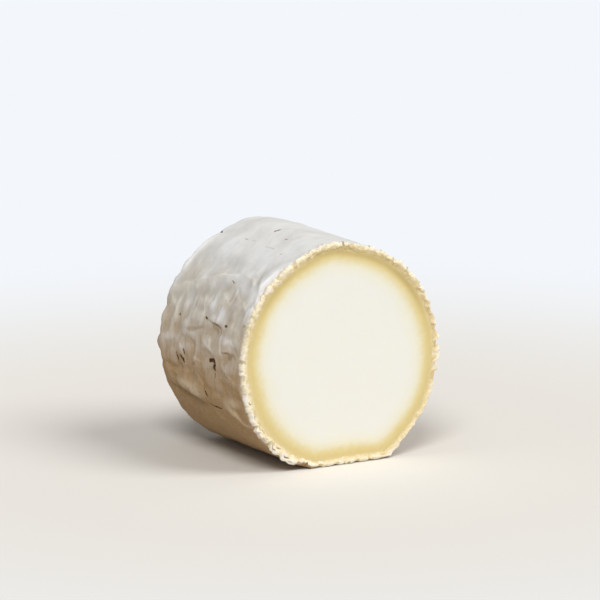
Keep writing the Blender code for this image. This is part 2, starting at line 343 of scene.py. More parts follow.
def wrinkle_height(angle, radius, along):
    """Lumps of the skin, and the wrinkles, blisters and creases of its dry parts."""
    strength = wrinkle_strength(angle, along)
    x = radius * np.cos(angle)
    z = radius * np.sin(angle)
    along = along + LOG_RADIUS - radius
    push = DRIFT_OFF * noise_at(x / DRIFT_SIZE + 5.2, z / DRIFT_SIZE, along / DRIFT_SIZE)
    x, z, along = x + push, z - push, along + push

    def relief(depth, size_round, size_along, shift, thin):
        wave = noise_at(x / size_round + shift[0], z / size_round + shift[1],
                        along / size_along + shift[2])
        return depth * (np.exp(-(wave / CREST_WIDTH) ** 2) if thin else wave)

    return relief(*LUMPS) + strength * sum(relief(*row) for row in WRINKLES)


def stroke_share(angle, along, strokes, fade):
    """How far a place belongs to the marks or strokes of a table, from 0 to 1."""
    share = np.zeros(np.broadcast_shapes(angle.shape, along.shape))
    for first_turn, first_run, last_turn, last_run, half_width, darkness in strokes:
        arc = np.radians(turn_from(angle, first_turn)) * LOG_RADIUS
        run = along - first_run * MM
        to_arc = math.radians(last_turn - first_turn) * LOG_RADIUS
        to_run = (last_run - first_run) * MM
        length = math.hypot(to_arc, to_run)
        passed = np.clip((arc * to_arc + run * to_run) / length ** 2, 0.0, 1.0)
        away = np.hypot(arc - passed * to_arc, run - passed * to_run)
        border = half_width * MM + fade
        inside = smooth_share(away, border, MARK_CORE * border)
        share = np.maximum(share, darkness * inside)
    return share


def patch_share(angle, along, column):
    """Sum of the patches' whiteness (column 4) or brownness (column 5) at a place."""
    share = 0.0
    for patch in PATCHES:
        centre, place, spread, spread_along = patch[:4]
        run = (along - place * MM) / (spread_along * MM)
        share = share + patch[column] * bell(angle, centre, spread) * np.exp(-run ** 2)
    return share


def brownness(angle, along):
    """Brownness that the patches and the soft strokes add at a place."""
    bend = fold_bend(angle, along)
    stroked = stroke_share(angle + bend / LOG_RADIUS, along + bend, STROKES, STROKE_FADE)
    return patch_share(angle, along, 5) + stroked


def whiteness(angle, radius, along):
    """Whiteness that the patches, the bared band and uneven drying add at a place,
    partly painted highlight and painted shade.
    """
    x = radius * np.cos(angle) / UNEVEN_SIZE
    z = radius * np.sin(angle) / UNEVEN_SIZE
    run = along / UNEVEN_SIZE
    finer, share = FINE_UNEVEN
    dried = (noise_at(x, z + 1.5, run)
             + share * noise_at(finer * x, finer * z, finer * run))
    uneven = np.maximum(smooth_share(np.cos(angle), *UNEVEN_SIDE), end_share(along))
    centre, spread, width, added = BARED_AND_HIGHLIGHT
    width = width * (1.0 + BARED_WANDER * noise_at(angle * BARED_WAVES, 0.0, 4.2))
    bared_and_highlight = added * bell(angle, centre, spread, 4) * np.exp(-(along / width) ** 4)
    return (patch_share(angle, along, 4) + bared_and_highlight
            + UNEVEN * uneven * np.minimum(dried, UNEVEN_PALEST))


def sole_height(across, along):
    """How high the underside lies over the surface that it rests on."""
    outside = np.maximum.reduce([
        SOLE_X[0] - across, across - SOLE_X[1],
        SOLE_ALONG[0] - along, along - SOLE_ALONG[1], np.zeros_like(across)])
    return SOLE_LIFT * outside


def in_frame(angle, out, along):
    """Points of the frame from direction, distance from the axis and place along it."""
    angle, out, along = np.broadcast_arrays(angle, out, along)
    across = out * np.cos(angle)
    height = np.maximum(out * np.sin(angle) + AXIS_HEIGHT, sole_height(across, along))
    return np.stack([across + AXIS_X, along + CUT_Y, height], axis=-1)


def softened(field, times):
    """The field with each place averaged with its neighbours, so many times over."""
    for _ in range(times):
        beside = np.roll(field, 1, axis=1) + np.roll(field, -1, axis=1)
        field = 0.5 * field + 0.25 * beside
        padded = np.concatenate([field[:1], field, field[-1:]])
        field = 0.5 * field + 0.25 * (padded[:-2] + padded[2:])
    return field


def cells(grid):
    """The four corners of each cell of a grid, row by row."""
    return np.stack([grid[:-1, :-1], grid[:-1, 1:], grid[1:, 1:], grid[1:, :-1]], axis=2)


def wrapped_mesh(name, points, first_pole=None, last_pole=None):
    """Closed mesh of a grid of points that goes round the log.

    With poles the first and last rows end in them, and without them the last row
    joins the first, as on a ring.
    """
    corners = points.reshape(-1, 3).tolist()
    grid = np.arange(len(corners)).reshape(points.shape[:2])
    grid = np.concatenate([grid, grid[:, :1]], axis=1)
    if first_pole is None:
        faces = cells(np.concatenate([grid, grid[:1]])).reshape(-1, 4).tolist()
    else:
        faces = cells(grid).reshape(-1, 4).tolist()
        pole = len(corners)
        corners += [first_pole, last_pole]
        first, last = grid[0].tolist(), grid[-1].tolist()
        faces += [(pole, two, one) for one, two in zip(first, first[1:])]
        faces += [(pole + 1, one, two) for one, two in zip(last, last[1:])]
    mesh = bpy.data.meshes.new(name)
    mesh.from_pydata(corners, [], faces)
    mesh.shade_smooth()
    return mesh


def lay_out(mesh, columns, along):
    """Map of the skin in millimetres: round the log from its underside, and along it."""
    turns = np.arange(columns + 1) * ARC_TURN / columns
    grid = np.stack(np.broadcast_arrays(turns[None, :], along[:, None] / MM), axis=-1)
    flat = cells(grid).reshape(-1, 2)
    values = np.zeros((len(mesh.loops), 2), np.float32)
    values[:len(flat)] = flat
    mesh.uv_layers.new(name="skin_map").data.foreach_set("uv", values.ravel())


def keep_field(mesh, name, field, kind='FLOAT', part="value", width=1):
    """Store a field of the grid on the mesh's points, for its material to read."""
    values = np.zeros(width * len(mesh.vertices), np.float32)
    values[:field.size] = field.ravel()
    mesh.attributes.new(name, kind, 'POINT').data.foreach_set(part, values)


def placed(mesh):
    """Object of a mesh that is already in the frame, riding on the one body."""
    piece = bpy.data.objects.new(mesh.name, mesh)
    bpy.context.scene.collection.objects.link(piece)
    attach(piece, "root")
    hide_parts("cheese_log")
    return piece


def ring_angles(columns):
    """Directions of the columns of a grid, from the underside round the log."""
    return np.radians(np.arange(columns) * 360.0 / columns - 90.0)[None, :]


def rind_profile():
    """Radius and place of each row of the rind's skin, from the natural end forward."""
    flat = LOG_RADIUS - SHOULDER
    rows = [(out, LOG_LENGTH - DOME * (out / flat) ** 2)
            for out in np.linspace(0.0, flat, round(flat / END_STEP))[1:-1]]
    rows += [(flat + SHOULDER * math.cos(turn), SIDE_END + SHOULDER * math.sin(turn))
             for turn in np.linspace(0.5 * math.pi, 0.0, SHOULDER_TURNS)]
    steps = round((SIDE_END - RIND_FRONT) / SIDE_STEP)
    rows += [(LOG_RADIUS, along)
             for along in np.linspace(SIDE_END, RIND_FRONT, steps)[1:]]
    return np.array(rows)[:, :1], np.array(rows)[:, 1:]


def skin_rise(angle, radius, along):
    """Height of the whole relief of the rind over the plain log."""
    spread_out = np.minimum(1.0, radius / (LOG_RADIUS - SHOULDER)) ** 2
    folded = fold_height(angle, along, FOLDS) + fold_height(angle, along, THREADS)
    rise = folded * spread_out + wrinkle_height(angle, radius, along)
    rise = rise * (CUT_RELIEF + (1.0 - CUT_RELIEF) * smooth_share(along, 0.0, CUT_REACH))
    marked = stroke_share(angle, along, MARKS, MARK_FADE)
    free = np.where(along < SIDE_END, freedom(angle), 1.0)
    return (rise - MARK_DEPTH * marked * spread_out) * free


def keep_skin(mesh, angle, radius, along, hollow):
    """Store on the mesh what the colours of the skin depend on."""
    wear = np.minimum(1.0, wrinkle_strength(angle, along))
    keep_field(mesh, "hollow", hollow * wear)
    keep_field(mesh, "fold", fold_height(angle, along, FOLDS) / MM)
    keep_field(mesh, "thread", fold_height(angle, along, THREADS) / THREAD_HEIGHT)
    keep_field(mesh, "wear", wear)
    keep_field(mesh, "whiteness", whiteness(angle, radius, along))
    keep_field(mesh, "brownness", brownness(angle, along))


rind_angle = ring_angles(RIND_COLUMNS)
rind_radius, rind_along = rind_profile()
rind_rise = skin_rise(rind_angle, rind_radius, rind_along)

# The relief stands up straight from the side, from the natural end and, between the
# two, from the rounding.
out_share = np.maximum(0.0, rind_radius - (LOG_RADIUS - SHOULDER))
back_share = np.maximum(0.0, rind_along - SIDE_END)
share_length = np.hypot(out_share, back_share)
out_share, back_share = out_share / share_length, back_share / share_length
dip = RIND_DIP * smooth_share(rind_along, RIND_FRONT + DIP_ROWS * SIDE_STEP, RIND_FRONT)
plain_scale = outline_radius(rind_angle, rind_along) / LOG_RADIUS
rind_skin = in_frame(rind_angle,
                     rind_radius * plain_scale + (rind_rise - dip) * out_share,
                     rind_along + rind_rise * back_share)

# The inner side lies flat on the paste.
inner_along = np.linspace(RIND_FRONT, SIDE_END, INNER_ROWS)[:, None]
inner_out = outline_radius(rind_angle, inner_along) - RIND_THICKNESS
rind_inside = in_frame(rind_angle, inner_out, inner_along)
rind_inside[..., 2] = AXIS_HEIGHT + np.maximum(
    inner_out * np.sin(rind_angle), RIND_THICKNESS - AXIS_HEIGHT)

rind_mesh = wrapped_mesh(
    "rind", np.concatenate([rind_skin, rind_inside]),
    (AXIS_X, CUT_Y + LOG_LENGTH + float(rind_rise[0].mean()), AXIS_HEIGHT),
    (AXIS_X, CUT_Y + SIDE_END + SHOULDER - 2.0 * RIND_THICKNESS, AXIS_HEIGHT))
lay_out(rind_mesh, RIND_COLUMNS, np.concatenate([rind_along, inner_along])[:, 0])
sunk = (softened(rind_rise, HOLLOW_ROUNDS) - rind_rise) / HOLLOW_DEPTH
keep_skin(rind_mesh, rind_angle, rind_radius, rind_along, np.clip(sunk, -1.0, 1.0))
rind = placed(rind_mesh)


def feed(tree, socket, source):
    """Link a socket to another one, or set it to a plain value."""
    if isinstance(source, bpy.types.NodeSocket):
        tree.links.new(source, socket)
    else:
        socket.default_value = source


def add_node(tree, kind, inputs=None, **settings):
    """New shader node with its settings, and with its inputs linked or set."""
    node = tree.nodes.new("ShaderNode" + kind)
    for name, value in settings.items():
        setattr(node, name, value)
    for label, source in (inputs or {}).items():
        feed(tree, node.inputs[label], source)
    return node


def blended(tree, share, first, second):
    """Colour that is first where share is 0 and second where it is 1."""
    return add_node(tree, "Mix", {"Factor": share, 6: first, 7: second},
                    data_type='RGBA').outputs[2]


def worked_out(tree, operation, first, second):
    """Result of an operation on two values."""
    return add_node(tree, "Math", {0: first, 1: second}, operation=operation).outputs[0]


def product(tree, first, second):
    """Product of two values."""
    return worked_out(tree, 'MULTIPLY', first, second)


def total(tree, *terms):
    """Sum of values, where a pair stands for its product."""
    first, *others = [product(tree, *term) if isinstance(term, tuple) else term
                      for term in terms]
    for other in others:
        first = worked_out(tree, 'ADD', first, other)
    return first


def vector_maths(tree, operation, *sources):
    """Result of an operation on vectors: a value if it measures, or else a vector."""
    maths = add_node(tree, "VectorMath", dict(enumerate(sources)), operation=operation)
    measures = operation in ('DOT_PRODUCT', 'DISTANCE', 'LENGTH')
    return maths.outputs["Value" if measures else "Vector"]


def between(tree, value, low, high, to_low=0.0, to_high=1.0):
    """Value spread from to_low at low to to_high at high, easing in and out."""
    ends = {"Value": value, "From Min": low, "From Max": high,
            "To Min": to_low, "To Max": to_high}
    return add_node(tree, "MapRange", ends, interpolation_type='SMOOTHSTEP').outputs[0]


def covered(tree, colour, over, value, low, high, most=1.0):
    """Colour with another over it: none of that at low, and most of it at high."""
    return blended(tree, between(tree, value, low, high, 0.0, most), colour, over)


def layered(tree, colour, *layers):
    """Colour with layers over it, one after the other, each as covered takes it."""
    for layer in layers:
        colour = covered(tree, colour, *layer)
    return colour


def spread_noise(tree, place, sizes, detail=3.0, roughness=0.5, shift=0.0):
    """Soft noise from 0 to 1, with a size of its own along each axis of the place."""
    mapping = add_node(tree, "Mapping", {
        "Scale": [1.0 / size for size in sizes], "Location": (shift, shift, shift),
        "Vector": place})
    return add_node(tree, "TexNoise", {
        "Scale": 1.0, "Detail": detail, "Roughness": roughness,
        "Vector": mapping.outputs[0]}).outputs[0]


def clouds(tree, place, round_size, along_size, **looks):
    """Soft noise with one size round the log and another along it."""
    return spread_noise(tree, place, (round_size, along_size, round_size), **looks)


def stored(tree, name, output="Fac"):
    """Field that is stored on the mesh's points."""
    return add_node(tree, "Attribute", attribute_name=name).outputs[output]


def new_group(name, inputs, outputs):
    """Empty shader group, with the sockets that it is given and those that it gives."""
    tree = bpy.data.node_groups.new(name, 'ShaderNodeTree')
    for side, sockets in (('INPUT', inputs), ('OUTPUT', outputs)):
        for label, kind in sockets.items():
            tree.interface.new_socket(name=label, in_out=side,
                                      socket_type="NodeSocket" + kind)
    given = tree.nodes.new("NodeGroupInput").outputs
    return tree, given, tree.nodes.new("NodeGroupOutput").inputs


def mould_mark_group():
    """One brown mark: a short stroke on the map of the skin, ragged at its border."""
    tree, given, made = new_group("mould_mark", {
        "Place": "Vector", "Start": "Vector", "Run": "Vector", "Half Width": "Float",
        "Darkness": "Float", "Others": "Float"}, {"Mark": "Float"})
    run = given["Run"]
    offset = vector_maths(tree, 'SUBTRACT', given["Place"], given["Start"])
    passed = worked_out(tree, 'DIVIDE', vector_maths(tree, 'DOT_PRODUCT', offset, run),
                        vector_maths(tree, 'DOT_PRODUCT', run, run))
    passed.node.use_clamp = True
    nearest = add_node(tree, "VectorMath", {"Vector": run, "Scale": passed},
                       operation='SCALE').outputs["Vector"]
    away = vector_maths(tree, 'DISTANCE', offset, nearest)
    ratio = worked_out(tree, 'DIVIDE', away, given["Half Width"])
    share = product(tree, between(tree, ratio, 1.7, 0.5), given["Darkness"])
    feed(tree, made["Mark"], worked_out(tree, 'MAXIMUM', share, given["Others"]))
    return tree


mould_mark = mould_mark_group()
RAGGED = 0.8               # how far the border of a mark is pushed, in millimetres


def marks_within(tree, reach):
    """How brown the skin is with its marks as far as reach behind the cut, 0 to 1."""
    skin_map = add_node(tree, "UVMap", uv_map="skin_map").outputs["UV"]
    ragged = add_node(tree, "TexNoise", {
        "Scale": 0.75, "Detail": 3.0, "Roughness": 0.7, "Vector": skin_map})
    pushed = vector_maths(tree, 'MULTIPLY_ADD', ragged.outputs["Color"],
                          (2.0 * RAGGED, 2.0 * RAGGED, 0.0), skin_map)
    place = vector_maths(tree, 'ADD', pushed, (-RAGGED, -RAGGED, 0.0))
    share = 0.0
    arc_degree = ARC_TURN / 360.0
    for first_turn, first_run, last_turn, last_run, half_width, darkness in MARKS:
        if min(first_run, last_run) * MM > reach:
            continue
        mark = add_node(tree, "Group", {
            "Place": place,
            "Start": ((first_turn + 90.0) % 360.0 * arc_degree, first_run, 0.0),
            "Run": ((last_turn - first_turn) * arc_degree, last_run - first_run, 0.0),
            "Half Width": half_width, "Darkness": darkness, "Others": share,
        }, node_tree=mould_mark)
        share = mark.outputs["Mark"]
    uneven = add_node(tree, "TexNoise", {"Scale": 1.3, "Vector": skin_map}).outputs[0]
    return product(tree, share, between(tree, uneven, 0.3, 0.55, 0.55, 1.1))


# Whitest bloom, and the colour of the painted highlights along the bared band and the
# far shoulder.
FRESH_WHITE_AND_HIGHLIGHT = (0.935, 0.900, 0.860, 1.0)
BLOOM_WHITE = (0.725, 0.720, 0.702, 1.0)
BLOOM_GREY = (0.622, 0.608, 0.580, 1.0)
FLANK_CREAM = (0.632, 0.590, 0.508, 1.0)
# Hollows are painted grey high up and beige low down: painted shade, partly beige
# staining.
HOLLOW_SHADE_GREY = (0.480, 0.455, 0.415, 1.0)
HOLLOW_SHADE_BEIGE = (0.460, 0.410, 0.330, 1.0)
# Threads and fold crests: partly the threads' pale skin, partly painted highlight.
THREAD_CREAM = (0.690, 0.650, 0.565, 1.0)
THREAD_TAN = (0.640, 0.525, 0.375, 1.0)
# Tan that deepens toward the bottom: partly the damp skin, partly painted shade with
# warm bounce light.
DAMP_TAN_AND_LOW_SHADE = (0.362, 0.228, 0.106, 1.0)
# Brown of stains and strokes, and of creases, where it is partly painted shade.
STAIN_AND_CREASE_SHADE_BROWN = (0.222, 0.138, 0.052, 1.0)
MARK_HALO = (0.190, 0.115, 0.036, 1.0)
MARK_BROWN = (0.048, 0.021, 0.004, 1.0)
LOW_SHADE_HEIGHTS = (0.081, 0.010)              # heights where the skin is palest and most tan: partly dry and damp skin, partly painted shade with warm bounce light
SKIN_FIELDS = ("Hollow", "Whiteness", "Brownness", "Wear", "Fold", "Thread")


def bloom_skin_group():
    """Colour and fine relief of the mould: white bloom, beige hollows with painted
    shade, brown marks.
    """
    values = dict.fromkeys(SKIN_FIELDS + ("Low Damp And Shade", "Mark"), "Float")
    tree, given, made = new_group("bloom_skin", {"Place": "Vector", **values},
                                  {"Colour": "Color", "Height": "Float"})
    place = given["Place"]
    hollow, white, brown, wear, fold, thread = (given[name] for name in SKIN_FIELDS)
    low_damp_and_shade, mark = given["Low Damp And Shade"], given["Mark"]

    drifts = clouds(tree, place, 0.016, 0.013, detail=2.0)
    # Whiteness pales the bloom where it is high and greys it where it is low; part of it
    # is painted highlight and painted shade.
    greyness = total(tree, drifts, (white, -0.42), (wear, 0.28))
    grey = covered(tree, BLOOM_GREY, FLANK_CREAM, wear, 0.30, 0.85)
    colour = covered(tree, BLOOM_WHITE, grey, greyness, 0.42, 0.88)
    colour = covered(tree, colour, FRESH_WHITE_AND_HIGHLIGHT, white, 0.30, 1.10, 0.9)

    round_streaks = clouds(tree, place, 0.0110, 0.0030, detail=2.0, shift=3.7)
    mottle = clouds(tree, place, 0.0055, 0.0048, roughness=0.45, shift=6.4)
    streaks = product(tree, total(tree, round_streaks, mottle), 0.5)
    # Painted shade in the hollows, partly beige staining, with the streaky tone of the
    # bloom.
    hollow_shade_and_streaks = total(tree, (hollow, 0.36), (streaks, wear))
    hollow_shade_colour = covered(tree, HOLLOW_SHADE_GREY, HOLLOW_SHADE_BEIGE, low_damp_and_shade, 0.12, 0.50)
    colour = covered(tree, colour, hollow_shade_colour, hollow_shade_and_streaks, 0.15, 0.90, 0.52)

    stains = clouds(tree, place, 0.0100, 0.0080, shift=8.1)
    # The skin is painted tan toward the bottom and in stains: partly damp skin, partly
    # painted shade with warm bounce light.
    damp_and_shade = total(tree, low_damp_and_shade, (stains, 0.5), (hollow, 0.035), (white, -0.15))
    colour = covered(tree, colour, DAMP_TAN_AND_LOW_SHADE, damp_and_shade, 0.25, 1.15)
    # Creases are painted brown, more so low down: partly staining, partly painted shade.
    crease_shade_and_stain = product(tree, between(tree, fold, -0.15, -0.90, 0.0, 0.60),
                      between(tree, low_damp_and_shade, 0.15, 0.60, 0.30, 1.0))
    colour = blended(tree, crease_shade_and_stain, colour, STAIN_AND_CREASE_SHADE_BROWN)
    # Threads and fold crests are painted paler: partly the threads' pale skin, partly
    # painted highlight on the raised crests.
    thread_and_crest_highlight = covered(tree, THREAD_CREAM, THREAD_TAN, low_damp_and_shade, 0.45, 0.85)
    raised = total(tree, thread, (fold, 0.5))
    browned = product(tree, brown, between(tree, mottle, 0.25, 0.55))
    colour = layered(tree, colour, (thread_and_crest_highlight, raised, 0.15, 0.95, 0.45),
                     (STAIN_AND_CREASE_SHADE_BROWN, browned, 0.05, 0.90, 0.60))

    powder = clouds(tree, place, 0.0013, 0.0011, roughness=0.55, shift=1.3)
    colour = layered(tree, colour, (BLOOM_WHITE, powder, 0.35, 0.70, 0.09),
                     (MARK_HALO, mark, 0.02, 0.60, 0.75), (MARK_BROWN, mark, 0.35, 0.95))

    fur = clouds(tree, place, 0.00045, 0.00035, detail=2.0, shift=2.2)
    lines = clouds(tree, place, 0.0070, 0.0009, detail=2.0, shift=7.7)
    height = total(tree, (powder, 1.1), fur, (mottle, 3.0),
                   (product(tree, lines, wear), product(tree, wear, 1.3)))
    feed(tree, made["Colour"], colour)
    feed(tree, made["Height"], height)
    return tree


bloom_skin = bloom_skin_group()


def skin_nodes(tree, place, reach):
    """The rind's own colour and relief, as far as reach behind the cut."""
    height = add_node(tree, "SeparateXYZ", {0: place}).outputs["Z"]
    inputs = {name: stored(tree, name.lower()) for name in SKIN_FIELDS}
    inputs.update({"Place": place, "Mark": marks_within(tree, reach),
                   "Low Damp And Shade": between(tree, height, *LOW_SHADE_HEIGHTS)})
    return add_node(tree, "Group", inputs, node_tree=bloom_skin).outputs


def new_look(mesh, name, values):
    """New material on a mesh: its tree, and the places of the mesh in the frame."""
    material = bpy.data.materials.new(name)
    material.use_nodes = True
    mesh.materials.append(material)
    tree = material.node_tree
    for label, value in values.items():
        feed(tree, tree.nodes["Principled BSDF"].inputs[label], value)
    return tree, add_node(tree, "TexCoord").outputs["Object"]


def show(tree, colour, height=None, strength=0.0, distance=0.0):
    """Give a material its colour, and fine relief from a height."""
    shader = tree.nodes["Principled BSDF"]
    feed(tree, shader.inputs["Base Color"], colour)
    if height is not None:
        bump = add_node(tree, "Bump", {"Strength": strength, "Distance": distance,
                                       "Height": height})
        feed(tree, shader.inputs["Normal"], bump.outputs["Normal"])


rind_tree, rind_place = new_look(rind_mesh, "white_mould_rind", {
    "Roughness": 0.9, "Specular IOR Level": 0.2})
rind_look = skin_nodes(rind_tree, rind_place, LOG_LENGTH)
show(rind_tree, rind_look["Colour"], rind_look["Height"], 0.7, 0.00010)


# Cut edge of the rind
# Where the wire went through, the rind's edge is frilled and pushed out of the cut as
# a low cream lip with small lumps and pleats. It is the same skin as the rind. Low on
# the left the wire has dragged it outward into white flaps, split by thin dark slits.

LIP_WIDTH = 0.0038         # from the outside of the log to the foot on the paste
LIP_CREST = 0.0012         # how far in the lip is highest
LIP_HEIGHT = 0.00044       # how far it stands out of the cut there
LIP_ROUNDING = 0.00090     # how far back on the side it begins to turn
LIP_START = 0.0022         # how far back on the side its own relief begins
LIP_FOOT = 0.00015         # how deep its inner border lies under the paste
HIDDEN_FOOT = (0.0002, 0.0005)     # how much further in and back it ends in the paste
EDGE_BACK = 0.0032         # how far back the piece runs under the rind
EDGE_SIDE = 0.0026         # where it comes out of the rind
CRIMP_DEPTH = 0.00025
CRIMPS = ((89, 0.30, 0.4), (61, 0.45, 2.0), (37, 0.35, 4.1), (17, 0.30, 1.2))
CRIMP_TWIST = 0.02
HEM_INSET = 0.00080        # the hem lies this far in between its lumps
HEM_LUMP = 0.00150         # and its lumps stand out of it by this much
HEM_SIZE = 0.0025
HEM_FINE = (2.1, 0.5)      # lumps this much smaller come on top, and how strong
HEM_SPAN = (-0.25, 0.35)   # part of the noise's range over which a lump rises
LUMP_MOST = 1.25
FRILL_DEPTH = 0.00046
FRILL_SIZE = 0.0027
PLEAT_DEPTH = 0.00018      # pleats that cross the lip
PLEAT_SIZE = 0.00140
PLEAT_LENGTH = 0.0019
PLEAT_SLANT = (1.2, 0.72)  # how far they slant, in broad waves and in finer ones
CRUMB_DEPTH = 0.00010
CRUMB_SIZE = 0.00050
FULL_SIZE = (0.0048, 0.0030)       # parts of the lip that are fuller, and painted paler as a highlight
FOOT_FINE = (0.0012, 0.00051)      # size of the waves of the lip's inner border,
FOOT_BROAD = (0.0035, 0.00068)     # and how far they push it
SIDE_CALM = 0.5            # share of the rind's relief that the lip loses
FRILLED_OUT = 0.7          # how much of the frills shows at the outside
FRILLED_FORWARD = 0.75     # and how much of them and of the crimps on the cut
CRIMPED_FORWARD = 0.35
FORWARD_RISE = 0.12        # the lip's forward relief begins over this share of its width
FORWARD_FALL = (0.35, 0.88)        # and falls from this share on, by this much
CREAM_REACH = 0.0019       # its cream reaches back over the side by this on the lumps
CREAM_BORDER = (-0.0008, 0.0004)

# Where the edge is less crimped: direction, share that it loses, spread in degrees.
SMOOTH_EDGES = ((-42, 0.75, 24), (-88, 0.55, 20), (188, 0.45, 40))

# Where its lumps stand apart: direction, spread in degrees, depth of their gaps.
KNOBBLY = (119.0, 44.0, 0.45)

# Where the hem curls in toward the paste: direction, how far, and spread in degrees.
HEM_CURLS = ((134, 0.00030, 20), (173, 0.00040, 9), (191, 0.00048, 15),
             (208, 0.00022, 7), (218, 0.00070, 9), (249, 0.00100, 12),
             (-76, 0.00020, 10), (-45, 0.00040, 14))
CURL_BROWN = 0.0011        # a curl as large as this keeps the skin's own colour
CURLED_SKIN = (-0.0012, -0.0004)   # no further in than between these depths

# Where the gaps between its lumps are golden and darker, partly painted shade:
# direction, share, spread in degrees.
GOLDEN_GAP_SHADE = ((62, 0.75, 60), (212, 0.45, 17))

# White flaps: first and last direction, how far they are dragged outward.
FLAPS = ((192.5, 199.5, 0.00010), (203.0, 210.5, 0.00030), (211.5, 222.5, 0.00080),
         (224.5, 231.5, 0.00070), (233.0, 246.0, 0.00060), (-66.0, -54.0, 0.00055))
FLAP_START = (-0.4, 1.2)   # degrees past its first end between which a flap rises
FLAP_END = (-0.4, 1.6)     # and degrees before its last end
FLAP_WANDER = 1.3          # how far its ends wander, in degrees
FLAP_BACK = (0.0019, 0.0006)       # places on the side between which it comes loose
FLAP_WIDTH = (-0.0015, -0.0009)    # and depths on the lip where it ends

# Lumps of the hem with a brown speck on top, partly dried mould and partly painted
# shade on the lump's outer side: direction, how dark the speck is, and height of the
# lump as a share of the usual.
SPECKS = (
    (111, 0.5, 0.6), (106.7, 0.4, 0.8), (100.6, 0.6, 0.9), (95.9, 0.5, 0.7),
    (88.7, 1, 1), (81, 0.4, 0.6), (73.4, 0.6, 0.9), (65.8, 0.5, 0.8), (57.4, 0.6, 0.9),
    (47.4, 0.6, 0.8), (39.4, 0.4, 0.6), (30.8, 0.9, 0.9), (23, 0.3, 0.5),
    (15.4, 0.5, 0.7), (11.6, 0.5, 0.4), (7, 0.4, 0.4), (159, 0.6, 0.2), (155, 0, 0.5),
    (150.8, 0.2, 0.6), (146.6, 0.2, 0.8), (141.5, 0.3, 0.7), (136.6, 0.4, 0.8),
    (131.6, 0, 0.6), (125.4, 0.5, 0.9), (120.3, 0.2, 0.6), (115.6, 0.2, 0.9),
    (171, 0.3, 0.2), (193, 0.4, 0.2), (-20, 0.4, 0.2),
)
SPECK_SIZE = 0.9           # half width of a speck, in degrees
SPECK_INWARD = 0.0003      # how far in from the outside its middle lies
SPECK_REACH = 0.0010       # and how far it reaches from there
LUMP_WIDTH = 1.9           # half width of its lump, in degrees
LUMP_SHARE = 0.7           # usual height of its lump as a share of the hem's own lumps
LUMP_SPARED = 0.45         # and what at least is left of those beside it

# Dark slits along the edge, where the skin has split from itself, their brown painted
# shade in the splits: first and last direction, how far in from the outside they lie,
# and how deep and dark they are.
SLITS = (
    (196.5, 200.8, 1.4, 0.9), (205, 207.6, 1.5, 0.8), (210, 219.5, 1.9, 0.55),
    (222.6, 231, 0.9, 0.9), (232.5, 240, 1.3, 1), (243.5, 249, 1, 0.6),
    (200.5, 204, 1.8, 0.5), (213, 217, 0.8, 0.6), (217.5, 223, 1.3, 0.7),
    (226, 233, 1.9, 0.7), (236, 243, 0.6, 0.7), (-64, -59, 1.2, 0.4),
    (-54, -49, 1.3, 0.5), (90.5, 94, 1.9, 0.5), (40, 43.5, 2.4, 0.5),
    (10.6, 13.4, 2.2, 0.6), (-22, -17.5, 1.9, 0.3),
)
SLIT_DEPTH = 0.00034
SLIT_SIZE = 0.00024
SLIT_WANDER = 0.00070

# Under the rind the paste has ripened into a creamline, whose colours the lip shares.
# How much wider than usual it is: direction, what it adds as a share, and spread.
CREAMLINE_BULGES = ((198, 0.14, 24), (229, 0.08, 18), (14, 0.13, 22), (44, 0.16, 20))
CREAMLINE_WANDER = 0.05

# Where the lip is wider and pushes it in: direction, how far, and spread in degrees.
LIP_BULGES = ((196, 0.0008, 17), (228, 0.0005, 14), (164, 0.0003, 14),
              (-72, 0.0003, 12))

# Where it is more golden: direction, share, spread in degrees, and depth.
GOLDEN = ((166, 0.22, 11, 0.0024), (42, 1.05, 21, 0.0040), (71, 0.62, 13, 0.0035),
          (95, 0.80, 17, 0.0033), (135, 0.60, 20, 0.0036))
GOLDEN_SPREAD = 0.0013

# Its colour by millimetres in from the outside, where it is as wide as usual.
RIPENING = (
    (0.0, 0.800, 0.735, 0.570), (1.0, 0.790, 0.680, 0.445), (2.0, 0.755, 0.620, 0.350),
    (2.9, 0.700, 0.560, 0.268), (3.7, 0.668, 0.532, 0.236), (4.5, 0.680, 0.550, 0.250),
    (5.3, 0.700, 0.580, 0.285), (6.0, 0.716, 0.616, 0.342), (7.0, 0.740, 0.670, 0.450),
    (8.0, 0.765, 0.720, 0.550), (9.5, 0.776, 0.749, 0.636), (13.0, 0.776, 0.764, 0.698),
)
DEEPEST = 16.0
STREAK_CREAM = (0.790, 0.680, 0.445, 1.0)
GOLD = (0.514, 0.382, 0.144, 1.0)

EDGE_COLUMNS = 1440
EDGE_SIDE_ROWS = 14
EDGE_TURN_ROWS = 8
EDGE_LIP_ROWS = 22
EDGE_HIDDEN_ROWS = 4


